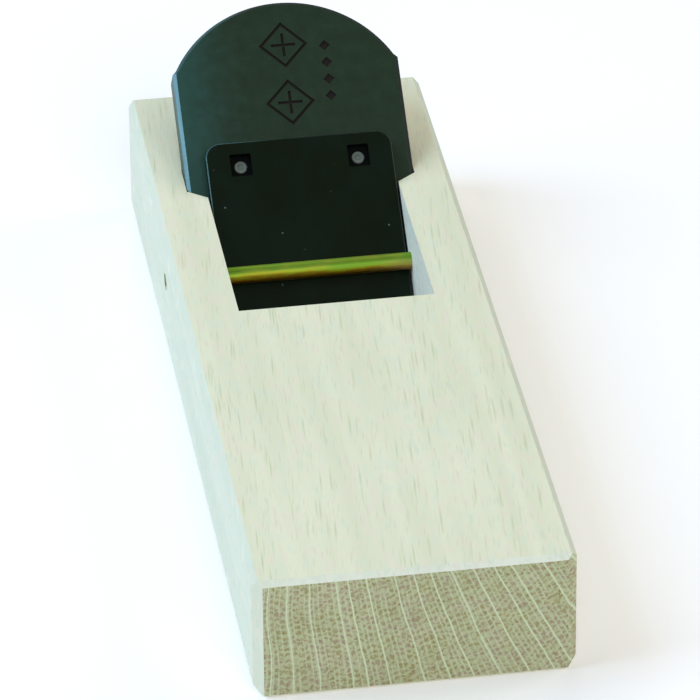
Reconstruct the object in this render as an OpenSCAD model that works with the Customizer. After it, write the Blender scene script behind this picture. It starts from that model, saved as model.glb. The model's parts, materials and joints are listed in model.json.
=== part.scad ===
// Wooden bench plane with a leaning blade, a chipbreaker laid on it and a steel cross pin.
// The origin is the middle of the sole, +Y runs towards the blade's head, +Z is up.

/* [Body] */
// Width of the block, across the sole
body_w = 76; // [64:1:96]
// Length of the block
body_l = 230; // [185:1:280]
// Height of the block
body_h = 32; // [26:1:40]
// How far the cutting edge lies behind the middle of the block
mouth_y = 25; // [5:1:40]
// Chamfer of the long top edges
top_chamfer = 1.45; // [0.4:0.05:3]
// Chamfer of the top edges at the two ends
end_chamfer = 1.25; // [0.4:0.05:3]
// Chamfer of the four upright corners
corner_chamfer = 2.3; // [0.4:0.1:4]
// Chamfer of the long sole edges
sole_chamfer = 2.8; // [0.4:0.1:4]
// Chamfer of the sole edges at the two ends
toe_chamfer = 0.8; // [0.4:0.1:2]

/* [Throat] */
// Gap between the cutting edge and the front of the mouth
mouth_gap = 1; // [0.8:0.1:3]
// Height of the upright face at the front of the mouth
mouth_wall_h = 3; // [1:0.5:6]
// Slope of the throat's front wall
throat_slope = 57; // [50:1:75]
// Thickness of the wood edge behind the mouth
bed_toe_h = 1.8; // [1:0.1:3]
// Depth of the groove that holds each side of the blade
groove_d = 4.7; // [3:0.1:7]
// How far the groove's front wall opens out at the cheek
groove_flare = 2.5; // [1:0.1:4]

/* [Blade] */
// Lean of the blade's flat face above the sole
bed_angle = 38.66; // [36:0.1:45]
// Width of the blade
blade_w = 58; // [48:1:70]
// Length of the blade from its edge to the top of its head
blade_l = 100.5; // [84:0.5:125]
// Thickness of the blade at its edge end
blade_heel_t = 6.2; // [5:0.1:7]
// Thickness of the blade at its head
blade_head_t = 7.4; // [7:0.1:9]
// Angle of the ground bevel
bevel_angle = 28; // [26:1:34]
// Gap between each cheek and the narrow nose left where the lower corners are ground off
nose_gap = 0.3; // [0.2:0.05:2]
// Length of that nose
nose_l = 11.6; // [9.5:0.1:14]
// Rise of the arched head over its shoulders
head_rise = 16.5; // [8:0.5:20]
// Small cut where the head meets each side
shoulder_cut = 1; // [0.5:0.1:3]
// Chamfer of the blade's upper face
blade_chamfer = 0.8; // [0.2:0.1:1.5]
// Height of the edge above the sole at rest, along the bed
edge_rest_u = 0.3; // [0.1:0.1:0.8]
// Thickness of the hard steel layer
steel_t = 2.2; // [1.5:0.1:3]
// Length of the hard steel layer
steel_l = 54; // [45:1:70]
// Depth of the hollow in the steel face
hollow_d = 0.35; // [0.1:0.05:0.6]
// Flat land left between the hollow and the edge
edge_land = 4; // [2:0.5:8]
// Flat land left beside the hollow
side_land = 5; // [3:0.5:8]

/* [Chipbreaker] */
// Side gap between the chipbreaker and each cheek
chip_side_gap = 0.55; // [0.3:0.05:1.5]
// Place of the chipbreaker's upper edge, along the bed
chip_top_u = 62; // [58:0.5:72]
// Height of the plate's upper face over the blade
chip_top_n = 3.6; // [3.2:0.1:4.4]
// Space under the plate, which the ear pins span
chip_under = 0.7; // [0.5:0.1:1]
// Radius of the plate's upper corners
chip_corner_r = 4; // [2:0.5:8]
// Distance from the blade's edge back to the lip
chip_setback = 0.8; // [0.6:0.1:2]
// Length of the slope down to the lip
chip_slope_l = 8; // [6:0.5:12]
// Thickness of the lip's blunt tip
lip_t = 0.5; // [0.3:0.1:0.9]
// Length of the hard steel layer under the lip
lip_steel_l = 26; // [15:1:40]
// Thickness of that layer under the plate
lip_steel_t = 0.8; // [0.5:0.1:1.2]

/* [Ear pins] */
// Distance from the middle to each ear pin
ear_pin_x = 15; // [10:0.5:19]
// Distance from the plate's upper edge to each ear pin
ear_pin_drop = 6.3; // [5:0.1:12]
// Diameter of an ear pin
ear_pin_d = 3.3; // [2:0.1:4.5]
// Width of the square pocket round an ear pin
pocket_w = 5.4; // [5:0.1:7]
// Height of the pocket
pocket_h = 6; // [5:0.1:8]
// Depth of the pocket
pocket_d = 2.1; // [1:0.1:2.2]
// Height of the pin's head above the pocket floor
ear_head_h = 0.6; // [0.3:0.1:1]
// Chamfer round that head
ear_head_chamfer = 0.3; // [0.1:0.1:0.5]

/* [Cross pin] */
// Diameter of the cross pin
pin_d = 4.4; // [3:0.1:6]
// Place of the cross pin, along the bed
pin_u = 25.3; // [22:0.1:32]
// How far the pin's end lies inside the left side
pin_recess = 1.2; // [0.4:0.1:3]
// Wood left closed at the right side
pin_blind = 4.5; // [2:0.5:5]
// Chamfer of the pin's ends
pin_chamfer = 0.4; // [0.1:0.1:0.8]

/* [Ornament] */
// Depth of the struck ornament
strike_d = 0.35; // [0.1:0.05:0.6]
// Width of the struck lines
strike_w = 0.9; // [0.4:0.1:1.4]
// Distance from the top of the head down to the upper lozenge
upper_strike_drop = 12; // [9:0.1:14]
// Distance between the two large lozenges
strike_pitch = 15.8; // [14:0.1:18]
// Half height of a large lozenge
strike_r = 6.4; // [3:0.1:6.5]
// Distance from the middle to the row of small lozenges
row_x = 10.6; // [9:0.1:12]
// Number of small lozenges
row_count = 4; // [1:1:5]
// Distance between them
row_pitch = 4.6; // [4:0.1:5]
// Half height of a small lozenge
row_r = 1.8; // [1:0.1:2]

/* [Fits] */
// Gap between the blade and the groove's front wall
front_fit = 0.1; // [0.05:0.01:0.3]
// Gap between the blade's back and the bed
bed_fit = 0.1; // [0.05:0.01:0.3]
// Gap between each side of the blade and the groove
side_fit = 0.15; // [0.05:0.01:0.4]
// Gap under the chipbreaker's lip and ear pins
seat_fit = 0.08; // [0.05:0.01:0.2]
// Gap between the cross pin and the chipbreaker
pin_fit = 0.15; // [0.05:0.01:0.4]
// Room below the blade's shoulders for setting the edge deeper
set_room = 1.4; // [1.2:0.1:2]

/* [Hidden] */
$fn = 96;
// Overrun of every cutting tool past the face it opens
over = 1;
throat_w = blade_w - 2 * groove_d;
chip_w = throat_w - 2 * chip_side_gap;
// Rise of the blade's back away from its face, per unit of length
taper = (blade_head_t - blade_heel_t) / blade_l;
// Where the bevel ends, along the bed
bevel_u = edge_rest_u + blade_heel_t / (tan(bevel_angle) - taper);
pin_n = chip_top_n + pin_fit + pin_d / 2;
mouth_front_y = mouth_y - mouth_gap;
ear_pin_u = chip_top_u - ear_pin_drop;
chip_tip_u = edge_rest_u + chip_setback;
nose_w = throat_w - 2 * nose_gap;
// Where the blade reaches its full width, on shoulders that slope at 45 degrees
shoulder_low_u = edge_rest_u + nose_l;
full_w_u = shoulder_low_u + (blade_w - nose_w) / 2;
groove_end_u = shoulder_low_u - set_room;
// Where the arch meets the small cuts at the blade's sides
shoulder_x = blade_w / 2 - shoulder_cut;
shoulder_u = edge_rest_u + blade_l - head_rise;
// The arch's radius and centre follow from its chord and its rise.
head_r = (shoulder_x * shoulder_x + head_rise * head_rise) / (2 * head_rise);
head_centre_u = edge_rest_u + blade_l - head_r;

// Turns the bed's own axes (across, along, out of the face) into place.
module on_bed() { translate([0, mouth_y, 0]) rotate([bed_angle, 0, 0]) children(); }

// Extrudes an outline drawn as [Y, Z], to both sides of X = 0.
module across(width) { rotate([90, 0, 90]) translate([0, 0, -width / 2]) linear_extrude(width) children(); }

// Extrudes an outline drawn as [X, Z], from Y = start for the given length.
module along(start, length) { translate([0, start + length, 0]) rotate([90, 0, 0]) linear_extrude(length) children(); }

// A rectangle from one corner to the other.
module span(low, high) { translate(low) square(high - low); }

// ---- Block: one piece of oak with the throat, bed, grooves and mouth cut into it ----

module block_blank() {
    w = body_w / 2;
    l = body_l / 2;
    intersection() {
        along(-l, body_l) polygon([
            [-w + sole_chamfer, 0], [w - sole_chamfer, 0], [w, sole_chamfer], [w, body_h - top_chamfer],
            [w - top_chamfer, body_h], [-w + top_chamfer, body_h], [-w, body_h - top_chamfer], [-w, sole_chamfer]]);
        across(body_w + 2 * over) polygon([
            [-l + toe_chamfer, 0], [l - toe_chamfer, 0], [l, toe_chamfer], [l, body_h - end_chamfer],
            [l - end_chamfer, body_h], [-l + end_chamfer, body_h], [-l, body_h - end_chamfer], [-l, toe_chamfer]]);
        translate([0, 0, -over]) linear_extrude(body_h + 2 * over) polygon([
            [-w + corner_chamfer, -l], [w - corner_chamfer, -l], [w, -l + corner_chamfer],
            [w, l - corner_chamfer], [w - corner_chamfer, l], [-w + corner_chamfer, l],
            [-w, l - corner_chamfer], [-w, -l + corner_chamfer]]);
    }
}

// Height of the bed's normal coordinate at a place along it.
function bed_n(u) = -(blade_heel_t + taper * (u - edge_rest_u)) - bed_fit;

// Y of the bed at a height above the sole.
function bed_y(z) =
    let (k = taper, t = blade_heel_t + bed_fit - taper * edge_rest_u,
         u = (z + t * cos(bed_angle)) / (sin(bed_angle) - k * cos(bed_angle)))
    mouth_y + u * cos(bed_angle) + (t + k * u) * sin(bed_angle);

// The open space between the cheeks, from the mouth up past the top face.
module throat_space() {
    top = body_h + over;
    front_top_y = mouth_front_y - (top - mouth_wall_h) / tan(throat_slope);
    across(throat_w) polygon([
        [mouth_front_y, -over], [mouth_front_y, mouth_wall_h], [front_top_y, top],
        [bed_y(top), top], [bed_y(bed_toe_h), bed_toe_h], [bed_y(bed_toe_h), -over]]);
}

// The slot for the blade, as wide as the blade, with a front wall that opens out at the cheeks.
module blade_slot() {
    reach = (body_h + blade_head_t + 2 * over) / sin(bed_angle);
    outer = blade_w / 2 + side_fit;
    top_n = groove_flare + over;
    run = (outer - throat_w / 2) / (groove_flare - front_fit);
    inner = outer - run * (top_n - front_fit);
    on_bed() intersection() {
        across(2 * outer + over) polygon([
            [groove_end_u, bed_n(groove_end_u)], [reach, bed_n(reach)],
            [reach, top_n + over], [groove_end_u, top_n + over]]);
        along(groove_end_u - over, reach - groove_end_u) polygon([
            [-outer, front_fit], [-inner, top_n], [inner, top_n],
            [outer, front_fit], [outer, bed_n(reach) - over], [-outer, bed_n(reach) - over]]);
    }
}

module pin_bore() {
    at_pin() translate([-body_w / 2 - over, 0, 0]) rotate([0, 90, 0])
        cylinder(d = pin_d, h = body_w + over - pin_blind);
}

// The cross pin's axis.
module at_pin() {
    translate([0, mouth_y + pin_u * cos(bed_angle) - pin_n * sin(bed_angle),
               pin_u * sin(bed_angle) + pin_n * cos(bed_angle)]) children();
}

module body_block() {
    color("#e9e0c4") difference() {
        block_blank();
        throat_space();
        blade_slot();
        pin_bore();
    }
}

// ---- Cross pin: a plated steel rod driven in from the left side ----

module cross_pin() {
    length = body_w - pin_recess - pin_blind;
    r = pin_d / 2;
    color("#c9a640") at_pin() translate([-body_w / 2 + pin_recess, 0, 0]) rotate([0, 90, 0])
        rotate_extrude() polygon([
            [0, 0], [r - pin_chamfer, 0], [r, pin_chamfer], [r, length - pin_chamfer],
            [r - pin_chamfer, length], [0, length]]);
}

// ---- Blade: soft iron with a hard steel layer forge welded to its face ----

// The blade seen flat, its arched head left square.
module blade_plan() {
    w = blade_w / 2;
    nose = nose_w / 2;
    head_u = edge_rest_u + blade_l + over;
    polygon([
        [-nose, edge_rest_u], [nose, edge_rest_u], [nose, shoulder_low_u], [w, full_w_u],
        [w, shoulder_u - shoulder_cut], [shoulder_x, shoulder_u], [shoulder_x, head_u],
        [-shoulder_x, head_u], [-shoulder_x, shoulder_u], [-w, shoulder_u - shoulder_cut],
        [-w, full_w_u], [-nose, shoulder_low_u]]);
}

// The blade's side outline: flat face, tapered back and ground bevel.
module blade_side() {
    end = edge_rest_u + blade_l + over;
    polygon([
        [edge_rest_u, 0], [end, 0], [end, -blade_head_t - taper * over],
        [bevel_u, -(bevel_u - edge_rest_u) * tan(bevel_angle)]]);
}

// A bar with its upper long edges cut, kept where it is below the shoulders or inside the arch's disc.
module blade_edges() {
    w = blade_w / 2;
    deep = blade_head_t + over;
    intersection() {
        along(edge_rest_u, blade_l + over) polygon([
            [-w, -deep], [w, -deep], [w, -blade_chamfer], [w - blade_chamfer, 0],
            [-w + blade_chamfer, 0], [-w, -blade_chamfer]]);
        union() {
            translate([-blade_w, edge_rest_u - over, -deep - over])
                cube([2 * blade_w, shoulder_u - edge_rest_u + over, deep + 2 * over]);
            translate([0, head_centre_u, 0]) rotate_extrude() polygon([
                [0, 0], [head_r - blade_chamfer, 0], [head_r, -blade_chamfer], [head_r, -deep], [0, -deep]]);
        }
    }
}

module blade_blank() {
    on_bed() intersection() {
        translate([0, 0, -blade_head_t - over]) linear_extrude(blade_head_t + over) blade_plan();
        across(blade_w + over) blade_side();
        blade_edges();
    }
}

// A large struck lozenge: an outline with a cross of two strokes inside.
module lozenge(r) {
    difference() {
        rotate(45) square(r * sqrt(2), center = true);
        rotate(45) square((r - strike_w) * sqrt(2), center = true);
    }
    square([strike_w, r], center = true);
    square([r, strike_w], center = true);
}

module ornament() {
    top_u = edge_rest_u + blade_l - upper_strike_drop;
    middle_u = top_u - strike_pitch / 2;
    on_bed() translate([0, 0, -strike_d]) linear_extrude(strike_d + over) {
        translate([0, top_u]) lozenge(strike_r);
        translate([0, top_u - strike_pitch]) lozenge(strike_r);
        for (i = [0:row_count - 1])
            translate([row_x, middle_u + (i - (row_count - 1) / 2) * row_pitch])
                rotate(45) square(row_r * sqrt(2), center = true);
    }
}

// The space that the hard steel layer fills.
module steel_layer() {
    on_bed() translate([-blade_w, edge_rest_u - over, -steel_t])
        cube([2 * blade_w, steel_l + over, steel_t + over]);
}

module hollow() {
    w = blade_w / 2 - side_land;
    low = edge_rest_u + edge_land;
    high = edge_rest_u + steel_l - side_land;
    r = side_land;
    on_bed() translate([0, 0, -hollow_d]) linear_extrude(hollow_d + over) {
        span([-w + r, low], [w - r, high]);
        span([-w, low + r], [w, high - r]);
        for (x = [-w + r, w - r], u = [low + r, high - r]) translate([x, u]) circle(r = r);
    }
}

module blade_iron() {
    color("#2a2f2e") difference() {
        blade_blank();
        steel_layer();
        ornament();
    }
}

module blade_steel() {
    color("#8f979b") difference() {
        intersection() {
            blade_blank();
            steel_layer();
        }
        hollow();
    }
}

// ---- Chipbreaker: an iron plate with a steel lip, held off the blade by two ear pins ----

module chip_side() {
    knee_u = chip_tip_u + chip_slope_l;
    polygon([
        [chip_tip_u, seat_fit], [chip_tip_u + lip_t / 2, seat_fit + lip_t], [knee_u, chip_top_n],
        [chip_top_u, chip_top_n], [chip_top_u, chip_under], [knee_u, chip_under],
        [chip_tip_u + chip_slope_l / 3, seat_fit]]);
}

module chip_plan() {
    w = chip_w / 2;
    r = chip_corner_r;
    span([-w, chip_tip_u], [w, chip_top_u - r]);
    span([-w + r, chip_top_u - 2 * r], [w - r, chip_top_u]);
    for (x = [-w + r, w - r]) translate([x, chip_top_u - r]) circle(r = r);
}

module chip_blank() {
    on_bed() intersection() {
        linear_extrude(chip_top_n + over) chip_plan();
        across(chip_w + over) chip_side();
    }
}

// The space under the lip that the steel layer fills.
module lip_layer() {
    on_bed() translate([-chip_w, chip_tip_u - over, -over])
        cube([2 * chip_w, lip_steel_l + over, chip_under + lip_steel_t + over]);
}

module at_ear_pins() {
    for (x = [-ear_pin_x, ear_pin_x]) on_bed() translate([x, ear_pin_u, 0]) children();
}

module chipbreaker_plate() {
    color("#262b2a") difference() {
        chip_blank();
        lip_layer();
        at_ear_pins() {
            translate([-pocket_w / 2, -pocket_h / 2, chip_top_n - pocket_d]) cube([pocket_w, pocket_h, pocket_d + over]);
            cylinder(d = ear_pin_d, h = chip_top_n);
        }
    }
}

module chipbreaker_lip() {
    color("#8f979b") intersection() {
        chip_blank();
        lip_layer();
    }
}

module ear_pin(x) {
    r = ear_pin_d / 2;
    top = chip_top_n - pocket_d + ear_head_h;
    color("#7c8486") on_bed() translate([x, ear_pin_u, 0]) rotate_extrude() polygon([
        [0, seat_fit], [r, seat_fit], [r, top - ear_head_chamfer], [r - ear_head_chamfer, top],
        [ear_head_chamfer, top], [0, top - ear_head_chamfer]]);
}

module ear_pin_left() { ear_pin(-ear_pin_x); }

module ear_pin_right() { ear_pin(ear_pin_x); }

body_block();
cross_pin();
blade_iron();
blade_steel();
chipbreaker_plate();
chipbreaker_lip();
ear_pin_left();
ear_pin_right();
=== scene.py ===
"""A wooden bench plane: an oak block, a steel cross pin, a leaning blade and the chipbreaker laid on it."""

import json
import math

import bmesh
import bpy
from mathutils import Matrix, Vector


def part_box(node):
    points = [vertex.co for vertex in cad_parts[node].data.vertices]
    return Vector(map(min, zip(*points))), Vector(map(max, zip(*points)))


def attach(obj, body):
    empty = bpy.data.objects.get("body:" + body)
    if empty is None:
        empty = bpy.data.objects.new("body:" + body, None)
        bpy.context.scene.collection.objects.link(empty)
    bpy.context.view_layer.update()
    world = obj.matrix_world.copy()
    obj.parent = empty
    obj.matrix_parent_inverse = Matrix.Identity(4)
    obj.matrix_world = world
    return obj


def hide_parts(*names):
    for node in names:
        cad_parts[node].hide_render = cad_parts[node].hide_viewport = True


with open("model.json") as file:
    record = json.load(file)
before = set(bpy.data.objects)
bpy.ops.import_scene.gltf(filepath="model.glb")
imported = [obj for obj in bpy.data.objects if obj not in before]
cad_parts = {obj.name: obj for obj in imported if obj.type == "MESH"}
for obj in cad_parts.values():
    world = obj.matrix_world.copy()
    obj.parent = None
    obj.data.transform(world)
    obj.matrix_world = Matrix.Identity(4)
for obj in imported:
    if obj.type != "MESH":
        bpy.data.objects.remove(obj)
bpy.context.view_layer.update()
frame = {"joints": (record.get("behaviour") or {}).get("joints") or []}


# ----------------------------------------------------------------------------------------------------------
# Block: one piece of white oak, planed along the grain and sawn at the ends. The throat, bed, side grooves,
# mouth and the bore for the cross pin are cut into it. Its edges are eased with a few strokes of a plane.
# ----------------------------------------------------------------------------------------------------------

mm = 0.001
close = 0.01 * mm
hairline = 0.001 * mm
touching = 0.002 * mm


class Value:
    """A number or colour that runs through a finish. Sums on it add their Math nodes."""

    def __init__(self, finish, socket):
        self.finish = finish
        self.socket = socket

    def sum(self, operation, *terms):
        return self.finish.node("ShaderNodeMath", {"operation": operation}, dict(enumerate(terms)))

    def __getitem__(self, output):
        return Value(self.finish, self.socket.node.outputs[output])

    def __add__(self, other):
        return self.sum("ADD", self, other)

    def __radd__(self, other):
        return self.sum("ADD", other, self)

    def __sub__(self, other):
        return self.sum("SUBTRACT", self, other)

    def __rsub__(self, other):
        return self.sum("SUBTRACT", other, self)

    def __mul__(self, other):
        return self.sum("MULTIPLY", self, other)

    def __rmul__(self, other):
        return self.sum("MULTIPLY", other, self)

    def __truediv__(self, other):
        return self.sum("DIVIDE", self, other)

    def __pow__(self, other):
        return self.sum("POWER", self, other)


class Finish:
    """A material under construction, with its patterns laid on the piece's own place in space."""

    def __init__(self, name, **looks):
        self.material = bpy.data.materials.new(name)
        self.material.use_nodes = True
        self.tree = self.material.node_tree
        self.shader = self.tree.nodes["Principled BSDF"]
        self.place = self.node("ShaderNodeTexCoord", output="Object")
        self.set(**looks)

    def node(self, kind, settings={}, inputs={}, output=0):
        made = self.tree.nodes.new(kind)
        for name, setting in settings.items():
            if name == "stops":
                stops = made.color_ramp.elements
                while len(stops) < len(setting):
                    stops.new(1)
                for stop, (where, colour) in zip(stops, setting):
                    stop.position = where
                    stop.color = (*colour, 1)
            else:
                setattr(made, name, setting)
        for name, value in inputs.items():
            self.join(made.inputs[name], value)
        return Value(self, made.outputs[output])

    def join(self, socket, value):
        if isinstance(value, Value):
            self.tree.links.new(value.socket, socket)
        elif socket.type == "RGBA":
            socket.default_value = (*value, 1)
        else:
            socket.default_value = value

    def set(self, **looks):
        for name, value in looks.items():
            self.join(self.shader.inputs[name.replace("_", " ")], value)

    def stretched(self, x, y, z, turned=0):
        """The place in patches of these sizes in millimetres, turned about X by this angle first."""
        if turned:
            flat = self.node("ShaderNodeMapping", {}, {"Vector": self.place, "Rotation": (-turned, 0, 0)})
        else:
            flat = self.place
        sizes = (1 / (x * mm), 1 / (y * mm), 1 / (z * mm))
        return self.node("ShaderNodeMapping", {}, {"Vector": flat, "Scale": sizes})

    def mm_along(self, axis):
        """How far the place lies along an axis, in millimetres."""
        return self.node("ShaderNodeSeparateXYZ", {}, {0: self.place}, output=axis) * 1000

    def cloud(self, where, detail=2):
        """Soft random light and dark, from about 0.2 to 0.8, over patches of size 1."""
        return self.node("ShaderNodeTexNoise", {}, {"Vector": where, "Scale": 1, "Detail": detail})

    def rise(self, value, low, high):
        """0 below low, 1 above high, and a smooth rise between."""
        return self.node("ShaderNodeMapRange", {"interpolation_type": "SMOOTHSTEP"},
                         {"Value": value, "From Min": low, "From Max": high})

    def blend(self, share, first, second):
        return self.node("ShaderNodeMix", {"data_type": "RGBA"}, {0: share, 6: first, 7: second}, output=2)

    def relief(self, height, depth):
        """Raises the surface by height times depth, in millimetres."""
        bump = self.node("ShaderNodeBump", {}, {"Height": height, "Distance": depth * mm, "Strength": 1})
        self.set(Normal=bump)


def grown_oak(name, **looks):
    """Oak and its place in the tree, in millimetres: round the heart, out from it, and along the grain."""
    heart_x, heart_z = -24, 142
    reach, drift, sway_by = 130, 0.085, 4
    wood = Finish(name, **looks)
    x, y, z = (wood.mm_along(axis) for axis in "XYZ")
    sway = wood.cloud(wood.stretched(30, 110, 30), 1) - 0.5
    across = x - y * drift - heart_x + sway * sway_by
    down = heart_z - z
    out = (across * across + down * down) ** 0.5
    round_it = across.sum("ARCTAN2", across, down) * reach
    return wood, round_it, out, y


def cells(wood, *sizes):
    """Random cells in the tree's own directions: distance to each one's middle, and a number of its own."""
    where = wood.node("ShaderNodeCombineXYZ", {}, dict(enumerate(sizes)))
    found = wood.node("ShaderNodeTexVoronoi", {}, {"Vector": where, "Scale": 1}, output="Distance")
    return found, wood.node("ShaderNodeSeparateColor", {}, {0: found["Color"]})


def planed_oak(name, ground, fleck, fleck_share):
    """Oak planed along the grain: rays show as rows of soft dashes, and pores as finer and fainter ones."""
    wood, round_it, out, y = grown_oak(name, Roughness=0.55)
    row = wood.rise(cells(wood, round_it / 4.2, y / 160, out / 60)[0], 0.1, 0.55)
    near, own = cells(wood, round_it / 0.9, y / 15, out / 9)
    rays = (1 - wood.rise(near, 0.02, 0.5)) * wood.rise(own - row * 0.3, 0.12, 0.7)
    near, own = cells(wood, round_it / 0.45 + 7, y / 6, out / 2.5)
    pores = (1 - wood.rise(near, 0.1, 0.5)) * wood.rise(own, 0.4, 0.95)
    streaks = wood.cloud(wood.stretched(5, 110, 5), 3)
    patches = wood.cloud(wood.stretched(34, 60, 34), 1)
    colour = wood.blend(wood.rise(streaks + patches * 0.6, 0.5, 1.1), *ground)
    blush = wood.cloud(wood.stretched(2.2, 5, 2.2), 2)
    colour = wood.blend(wood.rise(blush, 0.5, 0.68) * 0.45, colour, (0.80, 0.70, 0.56))
    colour = wood.blend((1 - wood.rise(blush, 0.32, 0.5)) * 0.4, colour, (0.68, 0.72, 0.57))
    colour = wood.blend(pores * 0.3, colour, (0.52, 0.50, 0.32))
    wood.set(Base_Color=wood.blend(rays * fleck_share, colour, fleck), Roughness=0.52 + streaks * 0.12)
    wood.relief(pores * -0.7 - rays * 0.3, 0.04)
    return wood.material


def sawn_oak(name):
    """Oak cut across the grain: pale rays run out from the heart, with brown rows of pores between them."""
    wood, round_it, out, y = grown_oak(name, Roughness=0.65)
    tremble = wood.cloud(wood.stretched(3, 3, 3), 2) - 0.5
    broad_gap, fine_gap, row_gap = 5.2, 1.25, 1.6
    line = {"voronoi_dimensions": "1D", "feature": "DISTANCE_TO_EDGE"}
    broad = wood.node("ShaderNodeTexVoronoi", line, {"W": round_it + tremble * 0.35, "Scale": 1 / broad_gap},
                      output="Distance") * broad_gap
    broad = 1 - wood.rise(broad, 0.04, 0.3)
    fine = wood.node("ShaderNodeTexVoronoi", line, {"W": round_it + tremble * 0.4, "Scale": 1 / fine_gap},
                     output="Distance") * fine_gap
    fine = (1 - wood.rise(fine, 0.04, 0.36)) * wood.rise(wood.cloud(wood.stretched(2.5, 9, 9), 1), 0.25, 0.55)
    column = wood.node("ShaderNodeTexVoronoi", {"voronoi_dimensions": "1D"},
                       {"W": round_it + tremble * 0.4, "Scale": 1 / fine_gap}, output="Color")
    column = wood.node("ShaderNodeSeparateColor", {}, {0: column})
    row = out / row_gap + column + (wood.cloud(wood.stretched(1.4, 9, 1.4), 1) - 0.5) * 1.6
    row = (row.sum("FRACT", row) - 0.5)
    row = 1 - wood.rise(row.sum("ABSOLUTE", row), 0.12, 0.42)
    near, own = cells(wood, round_it / 0.45, y / 12, out / 0.8)
    pores = (1 - wood.rise(near, 0.15, 0.6)) * (0.35 + own * 0.65)
    brown = (row * 0.8 + pores * 0.45) * wood.rise(wood.cloud(wood.stretched(1.1, 9, 1.3), 2), 0.28, 0.56)
    colour = wood.blend(wood.cloud(wood.stretched(12, 60, 8), 2), (0.40, 0.44, 0.24), (0.55, 0.56, 0.33))
    tone = wood.blend(wood.rise(wood.cloud(wood.stretched(5, 9, 4), 1), 0.4, 0.6), (0.27, 0.21, 0.06),
                      (0.32, 0.20, 0.15))
    colour = wood.blend(brown * 0.85, colour, tone)
    colour = wood.blend(pores * 0.35, colour, (0.24, 0.20, 0.09))
    colour = wood.blend(fine * 0.6, colour, (0.56, 0.63, 0.42))
    wood.set(Base_Color=wood.blend(broad * 0.8, colour, (0.66, 0.77, 0.53)), Roughness=0.6 + pores * 0.2)
    wood.relief(broad * 0.3 - pores, 0.05)
    return wood.material


top_oak = planed_oak("planed oak", ((0.70, 0.70, 0.49), (0.79, 0.78, 0.565)),
                     fleck=(0.50, 0.53, 0.30), fleck_share=0.62)
# Painted light and shade: the sides take a darker, bluer copy of the planed oak, with the pale flecks of
# their own grain.
side_oak_painted_shade = planed_oak("planed side of the oak", ((0.63, 0.68, 0.53), (0.70, 0.74, 0.59)),
                      fleck=(0.84, 0.85, 0.68), fleck_share=0.4)
# Painted light: the throat walls take a near-white copy of the planed oak, standing in for the light on the
# right cheek.
cheek_oak_painted_light = planed_oak("pared wall of the throat", ((0.90, 0.93, 0.80), (0.94, 0.95, 0.85)),
                       fleck=(0.95, 0.95, 0.86), fleck_share=0.3)
# Painted light: the eased ends are cut half across the grain, but take a pale copy of the oak, paler than the
# top.
corner_oak_painted_light = planed_oak("eased end of the oak", ((0.76, 0.80, 0.66), (0.82, 0.84, 0.70)),
                        fleck=(0.90, 0.90, 0.78), fleck_share=0.3)
end_oak = sawn_oak("sawn end of the oak")


def shape(add, name, **how):
    """Starts a piece from a simple solid and opens it for shaping."""
    bpy.ops.object.select_all(action="DESELECT")
    add(**how)
    piece = bpy.context.object
    piece.name = piece.data.name = name
    bpy.ops.object.transform_apply(location=True, rotation=True, scale=True)
    bpy.ops.object.mode_set(mode="EDIT")
    return piece


def blank(name, low, high):
    """Starts a piece from a rectangular blank with these two opposite corners."""
    low, high = Vector(low), Vector(high)
    return shape(bpy.ops.mesh.primitive_cube_add, name, size=1, location=(low + high) / 2, scale=high - low)


def pick(kind, wanted):
    """Selects the corners, edges or faces that pass a test, and no others."""
    bpy.ops.mesh.select_mode(type=kind)
    bpy.ops.mesh.select_all(action="DESELECT")
    data = bpy.context.edit_object.data
    made = bmesh.from_edit_mesh(data)
    made.normal_update()
    for part in {"VERT": made.verts, "EDGE": made.edges, "FACE": made.faces}[kind]:
        if wanted(part):
            part.select_set(True)
    made.select_flush_mode()
    bmesh.update_edit_mesh(data)


def saw(place, facing, keep=False):
    """Saws through a plane, takes off the side it faces and closes the cut, or keeps both sides."""
    bpy.ops.mesh.select_all(action="SELECT")
    bpy.ops.mesh.bisect(plane_co=place, plane_no=Vector(facing).normalized(), use_fill=not keep,
                        clear_outer=not keep, threshold=hairline)


def done(piece):
    """Closes a piece's shaping, with its faces pointing outwards."""
    bpy.ops.mesh.select_all(action="SELECT")
    bpy.ops.mesh.remove_doubles(threshold=touching)
    bpy.ops.mesh.normals_make_consistent(inside=False)
    bpy.ops.object.mode_set(mode="OBJECT")
    return piece


def finish_with(piece, kind, **settings):
    """Adds a modifier and applies it."""
    bpy.ops.object.select_all(action="DESELECT")
    bpy.context.view_layer.objects.active = piece
    piece.select_set(True)
    modifier = piece.modifiers.new(kind.lower(), kind)
    for name, setting in settings.items():
        setattr(modifier, name, setting)
    bpy.ops.object.modifier_apply(modifier=modifier.name)


def cut(piece, *tools, how="DIFFERENCE"):
    """Cuts each tool's shape out of a piece, or keeps only what lies inside it."""
    for tool in tools:
        finish_with(piece, "BOOLEAN", operation=how, object=tool, solver="EXACT")
        bpy.data.objects.remove(tool)


def ease(piece, width, long_edges, corners=25):
    """Eases a piece's long sharp edges by this width, and shades its faces flat up to them."""
    bpy.ops.object.mode_set(mode="EDIT")
    pick("EDGE", lambda edge: edge.is_manifold and edge.calc_face_angle(0) > math.radians(corners)
         and edge.calc_length() > long_edges)
    bpy.ops.transform.edge_bevelweight(value=1)
    bpy.ops.object.mode_set(mode="OBJECT")
    finish_with(piece, "BEVEL", limit_method="WEIGHT", width=width, segments=2)
    bpy.ops.object.shade_smooth_by_angle(angle=math.radians(28))
    finish_with(piece, "WEIGHTED_NORMAL", keep_sharp=True, weight=80)


def fit(piece, body, slot, *nodes):
    """Hands a finished piece to the body it moves with, in place of its plain solids."""
    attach(piece, body)
    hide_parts(*nodes)


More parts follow.
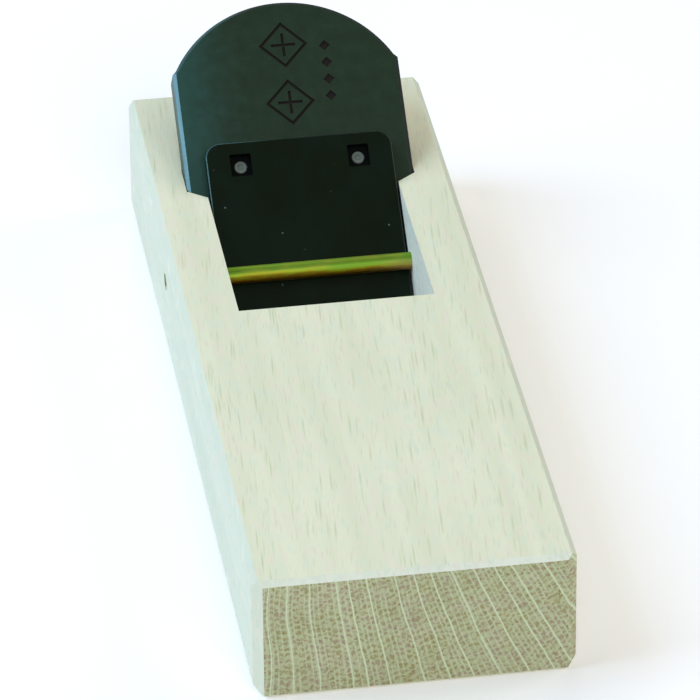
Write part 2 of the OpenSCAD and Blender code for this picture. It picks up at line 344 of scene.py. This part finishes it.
def dress(piece, *finishes, choose=None):
    """Gives a piece its finishes. choose says which one a face takes."""
    piece.data.materials.clear()
    for finish in finishes:
        piece.data.materials.append(finish)
    for face in piece.data.polygons:
        face.material_index = choose(face) if choose else 0


slide = Vector(next(joint["axis"] for joint in frame["joints"] if joint["name"] == "blade_slide"))
lean = math.atan2(slide.z, slide.y)
cutting_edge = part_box("blade_steel")[0]
bed_place = Vector((0, cutting_edge.y - cutting_edge.z * slide.y / slide.z, 0))


def lay_on_bed(piece):
    """Turns a piece drawn flat, with Y along the blade and Z out of its face, onto the bed."""
    bpy.ops.object.select_all(action="DESELECT")
    bpy.context.view_layer.objects.active = piece
    piece.select_set(True)
    piece.matrix_world = Matrix.Translation(bed_place) @ Matrix.Rotation(lean, 4, "X")
    bpy.ops.object.transform_apply(location=True, rotation=True, scale=True)
    return piece


low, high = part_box("body_block")
top_cut, end_cut, corner_cut, sole_cut, toe_cut = 1.45 * mm, 1.25 * mm, 2.3 * mm, 2.8 * mm, 0.8 * mm
block = blank("block", low, high)
for side in (-1, 1):
    edge_x, edge_y = side * high.x, side * high.y
    saw((edge_x, 0, high.z - top_cut), (side, 0, 1))
    saw((edge_x, 0, sole_cut), (side, 0, -1))
    saw((0, edge_y, high.z - end_cut), (0, side, 1))
    saw((0, edge_y, toe_cut), (0, side, -1))
    saw((edge_x, high.y - corner_cut, 0), (side, 1, 0))
    saw((edge_x, low.y + corner_cut, 0), (side, -1, 0))
done(block)

# The throat: a wedge between the cheeks, sloping down to the mouth.
blade_w, groove_deep, side_fit, front_fit, bed_fit = 58 * mm, 4.7 * mm, 0.15 * mm, 0.1 * mm, 0.1 * mm
heel_t, head_t, blade_l, edge_up = 6.2 * mm, 7.4 * mm, 100.5 * mm, 0.3 * mm
throat_w = blade_w - 2 * groove_deep
mouth_front = bed_place.y - 1 * mm
mouth_wall, throat_slope, toe_up = 3 * mm, math.radians(57), 1.8 * mm
taper = math.atan2(head_t - heel_t, blade_l)
bed_foot = Vector((0, edge_up, -heel_t - bed_fit))
bed_line = Matrix.Rotation(lean, 3, "X") @ Vector((0, math.cos(taper), -math.sin(taper)))
bed_start = bed_place + Matrix.Rotation(lean, 3, "X") @ bed_foot
toe_y = bed_start.y + (toe_up - bed_start.z) * bed_line.y / bed_line.z
over = 5 * mm

throat = blank("throat", (-throat_w / 2, -20 * mm, mouth_wall), (throat_w / 2, 90 * mm, high.z + over))
saw((0, mouth_front, mouth_wall), (0, -math.sin(throat_slope), -math.cos(throat_slope)))
saw(bed_start, Vector((0, bed_line.z, -bed_line.y)))
done(throat)
mouth = blank("mouth", (-throat_w / 2, mouth_front, -over), (throat_w / 2, toe_y, mouth_wall + 0.5 * mm))
saw(bed_start, Vector((0, bed_line.z, -bed_line.y)))
done(mouth)

# The bed: as wide as the blade, with grooves whose front walls open out at the cheeks.
flare, groove_foot = 2.5 * mm, 10.5 * mm
half = blade_w / 2 + side_fit
slant = math.atan2(half - throat_w / 2, flare - front_fit)
bed = blank("bed", (-half, groove_foot, -20 * mm), (half, 70 * mm, 12 * mm))
saw(bed_foot, (0, -math.sin(taper), -math.cos(taper)))
for side in (-1, 1):
    saw((side * half, 0, front_fit), (side * math.cos(slant), 0, math.sin(slant)))
done(bed)
lay_on_bed(bed)

pin_low, pin_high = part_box("cross_pin")
pin_place = (pin_low + pin_high) / 2
pin_r = (pin_high.z - pin_low.z) / 2
bore_l = pin_high.x - low.x + over
bore_x = (pin_high.x + low.x - over) / 2
bore = shape(bpy.ops.mesh.primitive_cylinder_add, "bore", vertices=72, radius=pin_r, depth=bore_l,
             location=(bore_x, pin_place.y, pin_place.z), rotation=(0, math.pi / 2, 0))
done(bore)

cut(block, throat, mouth, bed, bore)
ease(block, 0.22 * mm, 3 * mm)


def way_of_the_grain(face):
    """0 on top and under, 1 on the sides, 2 where the grain ends, 3 in the throat, 4 on the eased ends."""
    across, lengthwise = abs(face.normal.x), abs(face.normal.y)
    inside = abs(face.center.y) < high.y - 5 * mm
    if lengthwise > 0.9 or (inside and lengthwise > 0.5 and across < 0.5):
        return 2
    if across > 0.6 and abs(face.center.x) < half + 1 * mm:
        return 3
    if across > 0.6:
        # The eased corners on the right take the darker end finish as painted shade; those on the left take
        # the paler side finish as painted light.
        return 2 if lengthwise > 0.6 and face.center.x > 0 else 1
    return 4 if lengthwise > 0.2 and not inside else 0


dress(block, top_oak, side_oak_painted_shade, end_oak, cheek_oak_painted_light, corner_oak_painted_light, choose=way_of_the_grain)
fit(block, "body", "oak", "body_block")


# ----------------------------------------------------------------------------------------------------------
# Cross pin: a drawn steel rod with yellow chromate plating, driven in from the left side until its end lies
# a little under the wood. The chipbreaker wedges under it.
# ----------------------------------------------------------------------------------------------------------

pin = shape(bpy.ops.mesh.primitive_cylinder_add, "pin", vertices=96, radius=pin_r,
            depth=pin_high.x - pin_low.x, location=pin_place, rotation=(0, math.pi / 2, 0))
pick("EDGE", lambda edge: abs(edge.verts[0].co.x - edge.verts[1].co.x) < close)
bpy.ops.mesh.bevel(offset=0.4 * mm, segments=4, affect="EDGES")
done(pin)
bpy.ops.object.shade_smooth_by_angle(angle=math.radians(40))

plating = Finish("yellow chromate plating", Metallic=1.0)
tint = plating.cloud(plating.stretched(9, 2.5, 2.5), 3)
lengths = plating.cloud(plating.stretched(30, 0.25, 0.25), 2)
upward = (plating.node("ShaderNodeSeparateXYZ", {}, {0: plating.place}, output="Z") - pin_place.z) / pin_r
warm = plating.rise(tint, 0.42, 0.66)
# Colour by height round the pin: the plating's own green and orange tints, with painted shade darkening its
# underside and a painted highlight in the bright green band above the middle.
height_tint_and_painted_light = plating.rise(upward - warm * 0.35, -1.1, 1.1)
colour = plating.node("ShaderNodeValToRGB", {"stops": [
    (0.10, (0.12, 0.04, 0.002)), (0.36, (0.34, 0.17, 0.004)), (0.5, (0.40, 0.36, 0.012)),
    (0.64, (0.37, 0.52, 0.03)), (0.80, (0.24, 0.47, 0.05)), (0.97, (0.18, 0.34, 0.03))]}, {0: height_tint_and_painted_light})
colour = plating.blend(warm * 0.35, colour, (0.44, 0.27, 0.05))
# Painted reflection: a pale, warm patch on the lower half of the right end, standing for the bright cheek
# beside it.
pale = plating.rise(plating.mm_along("X") + tint * 12, 20, 29) * (1 - plating.rise(upward, 0.45, 0.85))
colour = plating.blend(pale * 0.5, colour, (0.66, 0.42, 0.16))
plating.set(Base_Color=plating.blend(plating.rise(lengths, 0.4, 0.7) * 0.3, colour, (0.20, 0.22, 0.03)),
            Roughness=0.5 + lengths * 0.14)
plating.relief(lengths, 0.006)
dress(pin, plating.material)
fit(pin, "body", "plated_pin", "cross_pin")


# ----------------------------------------------------------------------------------------------------------
# Blade: soft iron, black from the forge, with a thin layer of hard steel forge welded to its flat face. Its
# head is arched, its lower corners are ground off, its edge has a ground bevel, and plain lozenges are
# struck into its face.
# ----------------------------------------------------------------------------------------------------------

head_rise, head_top = 16.5 * mm, edge_up + blade_l
shoulder_cut, shoulder_y = 1 * mm, head_top - head_rise
chord = blade_w / 2 - shoulder_cut
head_r = (chord * chord + head_rise * head_rise) / (2 * head_rise)
nose_half, nose_top = throat_w / 2 - 0.3 * mm, edge_up + 11.6 * mm
full_w_y = nose_top + 5 * mm
bevel_angle, face_cut = math.radians(28), 0.8 * mm
steel_t, steel_l = 2.2 * mm, 54 * mm

blade = shape(bpy.ops.mesh.primitive_circle_add, "blade", vertices=192, radius=head_r, fill_type="NGON",
              location=(0, head_top - head_r, 0))
saw((0, shoulder_y, 0), (0, -1, 0))


def draw_on(by, wide):
    """Draws the blade's lower edge on by this much and makes it this wide."""
    foot = min(corner.co.y for corner in bmesh.from_edit_mesh(blade.data).verts)
    pick("EDGE", lambda edge: all(corner.co.y < foot + close for corner in edge.verts))
    was = max(corner.co.x for corner in bmesh.from_edit_mesh(blade.data).verts if corner.select)
    bpy.ops.mesh.extrude_region_move(TRANSFORM_OT_translate={"value": (0, -by, 0)})
    bpy.ops.transform.resize(value=(wide / was, 1, 1), center_override=(0, 0, 0))


draw_on(shoulder_cut, blade_w / 2)
draw_on(shoulder_y - shoulder_cut - full_w_y, blade_w / 2)
draw_on(full_w_y - nose_top, nose_half)
draw_on(nose_top - edge_up, nose_half)
pick("FACE", lambda face: True)
bpy.ops.mesh.extrude_region_move(TRANSFORM_OT_translate={"value": (0, 0, -head_t - 2 * mm)})
bpy.ops.mesh.select_all(action="SELECT")
bpy.ops.mesh.normals_make_consistent(inside=False)
saw((0, edge_up, -heel_t), (0, -math.sin(taper), -math.cos(taper)))
saw((0, edge_up, 0), (0, -math.sin(bevel_angle), -math.cos(bevel_angle)))
pick("EDGE", lambda edge: all(abs(corner.co.z) < close and (
    abs(corner.co.x) > chord - 0.05 * mm or corner.co.y > shoulder_y - 0.05 * mm) for corner in edge.verts)
    and edge.is_manifold and edge.calc_face_angle(0) > 1)
bpy.ops.mesh.bevel(offset=face_cut, segments=1, affect="EDGES", clamp_overlap=False)
done(blade)


def copy_of(piece, name):
    """A second piece like this one, with a mesh of its own."""
    made = piece.copy()
    made.data = piece.data.copy()
    made.name = made.data.name = name
    bpy.context.collection.objects.link(made)
    return made


def steel_space():
    """The space that the blade's steel layer takes up."""
    return done(blank("weld", (-40 * mm, -2 * mm, -steel_t), (40 * mm, edge_up + steel_l, 2 * mm)))


steel = copy_of(blade, "blade_edge_steel")
cut(blade, steel_space())
cut(steel, steel_space(), how="INTERSECT")


def stroke(long, wide, deep, place, turned):
    """A chisel's mark: a bar that narrows towards its foot."""
    mark = shape(bpy.ops.mesh.primitive_cube_add, "stroke", size=1, location=(0, 0, 0),
                 scale=(long, wide, 2 * deep))
    pick("FACE", lambda face: face.normal.z < -0.9)
    bpy.ops.transform.resize(value=((long - wide * 0.35) / long, 0.6, 1), center_override=(0, 0, 0))
    done(mark)
    mark.matrix_world = Matrix.Translation(place) @ Matrix.Rotation(turned, 4, "Z")
    bpy.ops.object.transform_apply(location=True, rotation=True, scale=True)
    return mark


mark_w, mark_deep, lozenge_r = 0.9 * mm, 0.35 * mm, 6.4 * mm
upper_down, lower_down, row_down = 12 * mm, 27.8 * mm, 19.9 * mm
marks = []
for up in (head_top - upper_down, head_top - lower_down):
    centre = Vector((0, up, 0))
    middle = lozenge_r - mark_w * 0.7
    for quarter in range(4):
        outward = Matrix.Rotation(math.radians(45 + 90 * quarter), 3, "Z")
        out = outward @ Vector((middle * math.sqrt(0.5), 0, 0))
        marks.append(stroke(middle * math.sqrt(2) + mark_w, mark_w, mark_deep, centre + out,
                            math.radians(135 + 90 * quarter)))
    for turned in (0, math.pi / 2):
        marks.append(stroke(lozenge_r, mark_w, mark_deep, centre, turned))
small_r, pitch, row_x = 1.8 * mm, 4.6 * mm, 10.6 * mm
for number in range(4):
    up = head_top - row_down + (number - 1.5) * pitch
    marks.append(stroke(small_r * math.sqrt(2), small_r * math.sqrt(2), mark_deep, Vector((row_x, up, 0)),
                        math.radians(45)))
cut(blade, *marks)

# The hollow in the steel face leaves a narrow land at the edge and the sides.
hollow_half, hollow_deep, edge_land, top_land = 24 * mm, 0.35 * mm, 4 * mm, 5 * mm
hollow = blank("hollow", (-hollow_half, edge_up + edge_land, -hollow_deep),
               (hollow_half, edge_up + steel_l - top_land, 1 * mm))
pick("EDGE", lambda edge: abs(edge.verts[0].co.x - edge.verts[1].co.x) < close
     and abs(edge.verts[0].co.y - edge.verts[1].co.y) < close)
bpy.ops.mesh.bevel(offset=5 * mm, segments=12, affect="EDGES")
pick("FACE", lambda face: face.normal.z < -0.9)
bpy.ops.transform.resize(value=(0.985, 0.985, 1), center_override=(0, edge_up + 26.5 * mm, 0))
cut(steel, done(hollow))

forge_black = Finish("forge black", Specular_IOR_Level=0.35)
scale_marks = forge_black.cloud(forge_black.stretched(3, 3, 3, lean), 5)
fine_scale = forge_black.cloud(forge_black.stretched(0.35, 0.35, 0.35, lean), 3)
rubbed = forge_black.cloud(forge_black.stretched(0.4, 18, 0.4, lean), 3)
wear = forge_black.rise(scale_marks * 0.6 + rubbed * 0.2 + fine_scale * 0.2, 0.3, 0.8)
# Painted sheen: the forged black turns teal towards the blade's left side, for the left lamp's glow on it.
painted_left_sheen = forge_black.rise(scale_marks * 10 - forge_black.mm_along("X"), 14, 40)
worn = forge_black.blend(wear, (0.006, 0.020, 0.006), (0.011, 0.032, 0.012))
forge_black.set(
    Base_Color=forge_black.blend(painted_left_sheen, worn, (0.016, 0.068, 0.054)),
    Roughness=0.38 + fine_scale * 0.1 + scale_marks * 0.06)
forge_black.relief(fine_scale * 0.5 + scale_marks, 0.018)


def ground_steel(name, colour, along, roughness, black_from=200):
    """Steel from the stone, with fine scratches. It is black from this many millimetres up the bed."""
    ground = Finish(name, Specular_IOR_Level=0.35)
    scratches = ground.cloud(ground.stretched(*along, lean), 3)
    patches = ground.cloud(ground.stretched(7, 7, 7, lean), 3)
    along_y = ground.node("ShaderNodeSeparateXYZ", {}, {0: ground.place}, output="Y")
    up_bed = ((along_y - bed_place.y) * slide.y + along_y["Z"] * slide.z) * 1000
    black = ground.rise(up_bed + patches * 6, black_from, black_from + 5)
    bright = ground.blend(scratches * 0.6 + patches * 0.3, colour, tuple(0.55 * part for part in colour))
    # Painted sheen: the forged part turns teal towards the left, as on the blade's black faces.
    painted_left_sheen = ground.rise(patches * 10 - ground.mm_along("X"), 14, 40)
    forged = ground.blend(painted_left_sheen, (0.008, 0.026, 0.009), (0.016, 0.068, 0.054))
    ground.set(Base_Color=ground.blend(black, bright, forged), Metallic=1 - black,
               Roughness=roughness + scratches * 0.16 + black * 0.16)
    ground.relief(scratches, 0.008)
    return ground.material


honed = ground_steel("honed steel", (0.56, 0.59, 0.60), (12, 0.12, 0.12), 0.22, black_from=27)
ground_iron = ground_steel("ground iron", (0.36, 0.38, 0.38), (12, 0.16, 0.16), 0.34)
bevel_facing = Matrix.Rotation(lean, 3, "X") @ Vector((0, -math.sin(bevel_angle), -math.cos(bevel_angle)))

# Rubbed chamfers: worn bare, but bright and cyan only on the left, which is a painted highlight of the left
# lamp on real wear; on the right they stay black.
rubbed_edge_and_highlight = Finish("rubbed forge black")
streaked = rubbed_edge_and_highlight.cloud(rubbed_edge_and_highlight.stretched(0.5, 9, 0.5, lean), 2)
left_bare_and_lit = rubbed_edge_and_highlight.rise(0 - rubbed_edge_and_highlight.mm_along("X"), 4, 22)
bare_metal_and_highlight = rubbed_edge_and_highlight.blend(streaked, (0.03, 0.085, 0.09), (0.10, 0.20, 0.20))
rubbed_edge_and_highlight.set(Base_Color=rubbed_edge_and_highlight.blend(left_bare_and_lit, (0.008, 0.016, 0.012), bare_metal_and_highlight),
                Metallic=left_bare_and_lit * (0.2 + streaked * 0.4), Roughness=0.16 + streaked * 0.14)
rubbed_edge_and_highlight.relief(streaked, 0.01)
struck = Finish("bottom of a struck mark", Specular_IOR_Level=0.2)
soot = struck.cloud(struck.stretched(0.6, 0.6, 0.6, lean), 3)
struck.set(Base_Color=struck.blend(soot, (0.004, 0.003, 0.002), (0.014, 0.010, 0.006)),
           Roughness=0.5 + soot * 0.2)
struck.relief(soot, 0.02)
out_of_face = Matrix.Rotation(lean, 3, "X") @ Vector((0, 0, 1))


def blade_finish(face):
    """0 on the forged faces, 1 on the ground bevel, 2 on the rubbed chamfer and its painted highlight, 3 in
    the struck marks.
    """
    facing = face.normal.dot(out_of_face)
    deep = (bed_place - face.center).dot(out_of_face)
    up_bed = (face.center - bed_place).dot(slide)
    from_arch = head_r - math.hypot(face.center.x, up_bed - head_top + head_r)
    beside = abs(face.center.x) > 27.5 * mm or (up_bed > shoulder_y and from_arch < 1.5 * mm)
    if face.normal.dot(bevel_facing) > 0.999:
        return 1
    if deep < 1 * mm and facing < 0.95 and beside:
        return 2
    return 3 if 0.03 * mm < deep < 0.5 * mm and not beside else 0


for piece, width in ((blade, 0.18 * mm), (steel, 0.05 * mm)):
    lay_on_bed(piece)
    ease(piece, width, 1.2 * mm, corners=35)
dress(blade, forge_black.material, ground_iron, rubbed_edge_and_highlight.material, struck.material, choose=blade_finish)
dress(steel, honed, rubbed_edge_and_highlight.material, choose=lambda face: blade_finish(face) == 2)
fit(blade, "blade", "black_iron", "blade_iron")
fit(steel, "blade", "edge_steel", "blade_steel")


# ----------------------------------------------------------------------------------------------------------
# Chipbreaker: a black iron plate with a layer of hard steel under its sloping lip, and two square pockets
# punched in from above. It rests on the blade on its lip and on the two ear pins.
# ----------------------------------------------------------------------------------------------------------

plate_w, plate_top, plate_up, plate_under = 47.5 * mm, 62 * mm, 3.6 * mm, 0.7 * mm
tip_y, slope_l, seat, tip_t = 1.1 * mm, 8 * mm, 0.08 * mm, 0.5 * mm
knee_y, heel_y = tip_y + slope_l, tip_y + slope_l / 3
lip_l, lip_t = 26 * mm, 0.8 * mm
plate = blank("chipbreaker", (-plate_w / 2, tip_y, seat), (plate_w / 2, plate_top, plate_up))
pick("EDGE", lambda edge: all(corner.co.y > plate_top - close for corner in edge.verts)
     and abs(edge.verts[0].co.z - edge.verts[1].co.z) > 1 * mm)
bpy.ops.mesh.bevel(offset=4 * mm, segments=16, affect="EDGES")
slope = Vector((0, -(plate_up - seat - tip_t), knee_y - tip_y - tip_t / 2))
saw((0, knee_y, plate_up), slope)
saw((0, tip_y, seat), (0, -tip_t, tip_t / 2))
saw((0, heel_y, 0), (0, 1, 0), keep=True)
saw((0, knee_y, 0), (0, 1, 0), keep=True)
pick("VERT", lambda corner: corner.co.y > knee_y - close and corner.co.z < seat + close)
bpy.ops.transform.translate(value=(0, 0, plate_under - seat))
pick("EDGE", lambda edge: all(corner.co.z > plate_up - close for corner in edge.verts)
     and edge.is_manifold and edge.calc_face_angle(0) > 1)
bpy.ops.mesh.bevel(offset=0.3 * mm, segments=2, affect="EDGES")
done(plate)


def lip_space():
    """The space that the lip's steel layer takes up."""
    return done(blank("weld", (-40 * mm, -2 * mm, -2 * mm), (40 * mm, tip_y + lip_l, plate_under + lip_t)))


lip = copy_of(plate, "chipbreaker_steel_lip")
cut(plate, lip_space())
cut(lip, lip_space(), how="INTERSECT")

pocket_w, pocket_h, pocket_deep = 5.4 * mm, 6 * mm, 2.1 * mm
ear_x, ear_y, ear_r = 15 * mm, 55.7 * mm, 1.65 * mm
for side in (-1, 1):
    pocket = blank("pocket", (side * ear_x - pocket_w / 2, ear_y - pocket_h / 2, plate_up - pocket_deep),
                   (side * ear_x + pocket_w / 2, ear_y + pocket_h / 2, plate_up + 2 * mm))
    pick("EDGE", lambda edge: abs(edge.verts[0].co.z - edge.verts[1].co.z) > 1 * mm)
    bpy.ops.mesh.bevel(offset=0.35 * mm, segments=3, affect="EDGES")
    done(pocket)
    cut(plate, pocket)
    hole = done(shape(bpy.ops.mesh.primitive_cylinder_add, "hole", vertices=64, radius=ear_r, depth=8 * mm,
                      location=(side * ear_x, ear_y, 0)))
    cut(plate, hole)

oxide = Finish("black oxide", Specular_IOR_Level=0.14)
blush = oxide.cloud(oxide.stretched(8, 14, 8, lean), 4)
grit = oxide.cloud(oxide.stretched(0.3, 0.3, 0.3, lean), 2)
lines = oxide.cloud(oxide.stretched(0.3, 22, 0.3, lean), 2)
mottled = oxide.blend(oxide.rise(blush, 0.35, 0.65), (0.002, 0.006, 0.0005), (0.002, 0.009, 0.003))
near = oxide.node("ShaderNodeTexVoronoi", {}, {"Vector": oxide.stretched(1.7, 1.7, 1.7), "Scale": 1},
                  output="Distance")
own = oxide.node("ShaderNodeSeparateColor", {}, {0: near["Color"]})
# Pale specks, more of them towards the right.
rightward = oxide.rise(oxide.mm_along("X"), 4, 22)
pale_specks = (1 - oxide.rise(near, 0.08, 0.2)) * oxide.rise(own + rightward * 0.14, 0.95, 1)
oxide.set(Base_Color=oxide.blend(pale_specks, mottled, (0.10, 0.13, 0.13)),
          Roughness=0.30 + grit * 0.1 + lines * 0.12)
oxide.relief(grit * 0.4 + lines * 0.6, 0.014)

# Painted shade: the pockets' walls and floors take a blacker finish than the plate, for the shade that falls
# in them.
pocket_painted_shade = Finish("black of the pockets", Specular_IOR_Level=0.1)
pocket_shade_mottle = pocket_painted_shade.cloud(pocket_painted_shade.stretched(0.7, 0.7, 0.7), 3)
pocket_painted_shade.set(Base_Color=pocket_painted_shade.blend(pocket_shade_mottle, (0.0005, 0.001, 0.001), (0.002, 0.004, 0.003)),
                 Roughness=0.6 + pocket_shade_mottle * 0.2)
pocket_painted_shade.relief(pocket_shade_mottle, 0.02)


def plate_finish(face):
    """0 on the plate, 1 in the pockets' painted shade, 2 on the rubbed edge round its face, with its painted
    highlight.
    """
    up_bed = (face.center - bed_place).dot(slide)
    up = (face.center - bed_place).dot(out_of_face)
    near_pocket = abs(abs(face.center.x) - ear_x) < 4 * mm and abs(up_bed - ear_y) < 4 * mm
    if near_pocket and up < plate_up - 0.1 * mm:
        return 1
    on_edge = 0.25 < face.normal.dot(out_of_face) < 0.97 and up > plate_up - 0.4 * mm
    return 2 if on_edge and not near_pocket else 0


for piece, width in ((plate, 0.12 * mm), (lip, 0.04 * mm)):
    lay_on_bed(piece)
    ease(piece, width, 1 * mm, corners=35)
dress(plate, oxide.material, pocket_painted_shade.material, rubbed_edge_and_highlight.material, choose=plate_finish)
dress(lip, ground_steel("honed lip", (0.54, 0.57, 0.58), (12, 0.12, 0.12), 0.24))
fit(plate, "chipbreaker", "black_plate", "chipbreaker_plate")
fit(lip, "chipbreaker", "lip_steel", "chipbreaker_lip")


# ----------------------------------------------------------------------------------------------------------
# Ear pins: two short turned steel pins pressed through the pocket floors. Their feet hold the plate off
# the blade.
# ----------------------------------------------------------------------------------------------------------

turned_steel = Finish("dull turned steel", Metallic=0.3)
dull = turned_steel.cloud(turned_steel.stretched(0.8, 0.8, 0.8), 3)
turned_steel.set(Base_Color=turned_steel.blend(dull, (0.11, 0.13, 0.11), (0.18, 0.21, 0.18)),
                 Roughness=0.38 + dull * 0.2)
turned_steel.relief(dull, 0.02)

head_z = plate_up - pocket_deep + 0.6 * mm
left_ear = shape(bpy.ops.mesh.primitive_cylinder_add, "ear_pin_left", vertices=64, radius=ear_r,
                 depth=head_z - seat, location=(-ear_x, ear_y, (head_z + seat) / 2))
pick("EDGE", lambda edge: all(corner.co.z > head_z - close for corner in edge.verts))
bpy.ops.mesh.bevel(offset=0.3 * mm, segments=4, affect="EDGES")
pick("FACE", lambda face: face.normal.z > 0.99 and face.calc_area() > 1e-6)
bpy.ops.mesh.inset(thickness=0.55 * mm)
bpy.ops.mesh.inset(thickness=0.25 * mm, depth=-0.25 * mm)
done(left_ear)
right_ear = copy_of(left_ear, "ear_pin_right")
right_ear.data.transform(Matrix.Translation((2 * ear_x, 0, 0)))
for ear, node in ((left_ear, "ear_pin_left"), (right_ear, "ear_pin_right")):
    lay_on_bed(ear)
    bpy.ops.object.shade_smooth_by_angle(angle=math.radians(35))
    dress(ear, turned_steel.material)
    ear.name = node + "_turned"
    fit(ear, "chipbreaker", "ear_pins", node)


# ----------------------------------------------------------------------------------------------------------
# Bench, light and camera: a pale table, soft lamps on the left, behind, on the right and in front, a pale
# sky, and a camera with a long lens that looks down from a little left of the front end.
# ----------------------------------------------------------------------------------------------------------

floor = done(shape(bpy.ops.mesh.primitive_plane_add, "table", size=9, location=(0, 0, low.z - 0.05 * mm)))
paper = Finish("pale table", Roughness=0.9)
mottle = paper.cloud(paper.stretched(60, 60, 60), 2)
paper.set(Base_Color=paper.blend(mottle, (0.97, 0.94, 0.92), (0.98, 0.95, 0.93)),
          Emission_Color=(1.0, 0.97, 0.95), Emission_Strength=0.1)
dress(floor, paper.material)

sky = bpy.data.worlds.new("studio")
bpy.context.scene.world = sky
sky.use_nodes = True
sky.node_tree.nodes["Background"].inputs["Color"].default_value = (0.96, 1.0, 1.0, 1)
sky.node_tree.nodes["Background"].inputs["Strength"].default_value = 0.2


def lamp(name, place, size, power, colour):
    """A soft square lamp that faces the block."""
    light = bpy.data.lights.new(name, "AREA")
    light.shape, light.size, light.size_y = "RECTANGLE", *size
    light.energy, light.color = power, colour
    stand = bpy.data.objects.new(name, light)
    bpy.context.collection.objects.link(stand)
    stand.location = place
    stand.rotation_euler = (-Vector(place)).to_track_quat("-Z", "Y").to_euler()


lamp("left lamp", (-1.28, 0.1, 1.07), (1.2, 1.5), 19.5, (0.70, 0.93, 1.25))
lamp("back lamp", (-0.3, 1.4, 1.5), (1.4, 1.0), 11, (1.0, 1.0, 0.98))
lamp("right lamp", (1.5, 0.2, 1.1), (1.0, 1.0), 8, (1.0, 1.0, 0.97))
lamp("front lamp", (0.2, -1.5, 1.15), (1.2, 0.8), 12, (1.0, 1.0, 0.96))

view_turn, view_up, view_roll = math.radians(8.598), math.radians(31.679), math.radians(-0.531)
back = Vector((-math.sin(view_turn) * math.cos(view_up), -math.cos(view_turn) * math.cos(view_up),
               math.sin(view_up)))
right = Vector((0, 0, 1)).cross(back).normalized()
up = back.cross(right)
eye = Matrix((right * math.cos(view_roll) + up * math.sin(view_roll),
              up * math.cos(view_roll) - right * math.sin(view_roll), back)).transposed()
lens = bpy.data.cameras.new("camera")
lens.lens, lens.sensor_width = 334.3, 36
lens.shift_x, lens.shift_y = -0.0106, 0.0054
lens.clip_start, lens.clip_end = 0.05, 50
camera = bpy.data.objects.new("camera", lens)
bpy.context.collection.objects.link(camera)
looked_at, distance = Vector((4.675, 3.051, 18)) * mm, 1.601377
camera.matrix_world = Matrix.Translation(looked_at + back * distance) @ eye.to_4x4()
bpy.context.scene.camera = camera
bpy.context.scene.view_settings.view_transform = "Standard"
